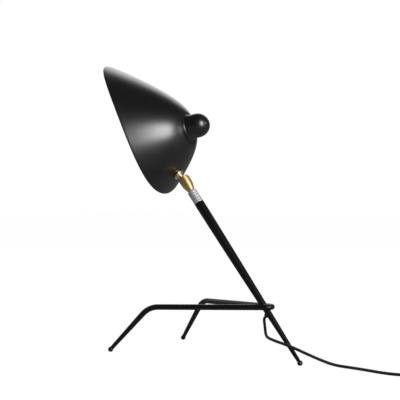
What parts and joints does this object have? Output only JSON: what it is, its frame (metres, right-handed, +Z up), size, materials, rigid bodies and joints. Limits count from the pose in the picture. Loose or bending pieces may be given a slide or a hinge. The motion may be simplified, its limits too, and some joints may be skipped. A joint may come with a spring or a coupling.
{
  "type": "table lamp",
  "caption": "Table lamp with a leaning tapered stem on thin splayed legs and a spun bowl shade with a domed knob, held on a brass ball swivel.",
  "frame": {"origin": "the flat under the rear foot, on the table", "axes": "+X from the rear foot towards the front feet, +Z up, Y across the legs"},
  "size_m": [0.7553, 0.2251, 0.4614],
  "materials": {
    "black_steel": "satin black powder coat on steel",
    "foot_black": "black painted turned balls",
    "shade_black": "satin black paint on spun aluminium",
    "polished_brass": "polished brass",
    "satin_nickel": "satin nickel plate on steel",
    "holder_black": "moulded black thermoset",
    "bulb_cap_metal": "plain screw cap",
    "bulb_opal": "opal glass",
    "black_rubber": "black flexible sheath",
    "tie_black": "black strap",
    "switch_black": "fine grained black moulding",
    "rocker_black": "gloss black moulding",
    "pin_nickel": "nickel plate on brass"
  },
  "bodies": {
    "base": {"stem_tube": "black_steel", "leg_hairpin": "black_steel", "foot_rear": "foot_black", "foot_left": "foot_black", "foot_right": "foot_black", "cord_bush": "black_rubber", "stem_collar": "satin_nickel", "swivel_tube": "satin_nickel", "swivel_nut": "satin_nickel", "swivel_washer": "satin_nickel", "stem_lead": "black_rubber", "power_cord": "black_rubber", "coil_lead": "black_rubber", "cord_coil": "black_rubber", "cord_tie": "tie_black", "switch_lower": "switch_black", "switch_upper": "switch_black", "switch_reliefs": "black_rubber", "plug_body": "switch_black", "plug_pins": "pin_nickel"},
    "switch_rocker": {"switch_rocker": "rocker_black"},
    "swivel": {"swivel_cup": "polished_brass", "cup_ring": "polished_brass"},
    "ball": {"ball_stud": "polished_brass", "stud_washer": "satin_nickel", "stud_nut": "satin_nickel"},
    "shade": {"shade": "shade_black", "holder_body": "holder_black", "holder_clip": "satin_nickel", "bulb_cap": "bulb_cap_metal", "bulb_glass": "bulb_opal", "shade_lead": "black_rubber"}
  },
  "joints": [
    {"name": "swivel_pan", "type": "hinge", "parent": "base", "child": "swivel", "pos_m": [0.22295, 0, 0.27272], "axis": [0.6381, 0, 0.77], "range_deg": [-150, 150]},
    {"name": "shade_tilt", "type": "hinge", "parent": "swivel", "child": "ball", "pos_m": [0.22295, 0, 0.27272], "axis": [-0.5203, 0.7372, 0.4312], "range_deg": [-54, 20]},
    {"name": "shade_roll", "type": "hinge", "parent": "ball", "child": "shade", "pos_m": [0.22295, 0, 0.27272], "axis": [0.7791, 0.2029, 0.5931], "range_deg": [-60, 60]},
    {"name": "switch_rock", "type": "hinge", "parent": "base", "child": "switch_rocker", "pos_m": [-0.256, -0.026, 0.01], "axis": [0, 1, 0], "range_deg": [0, 16]}
  ]
}
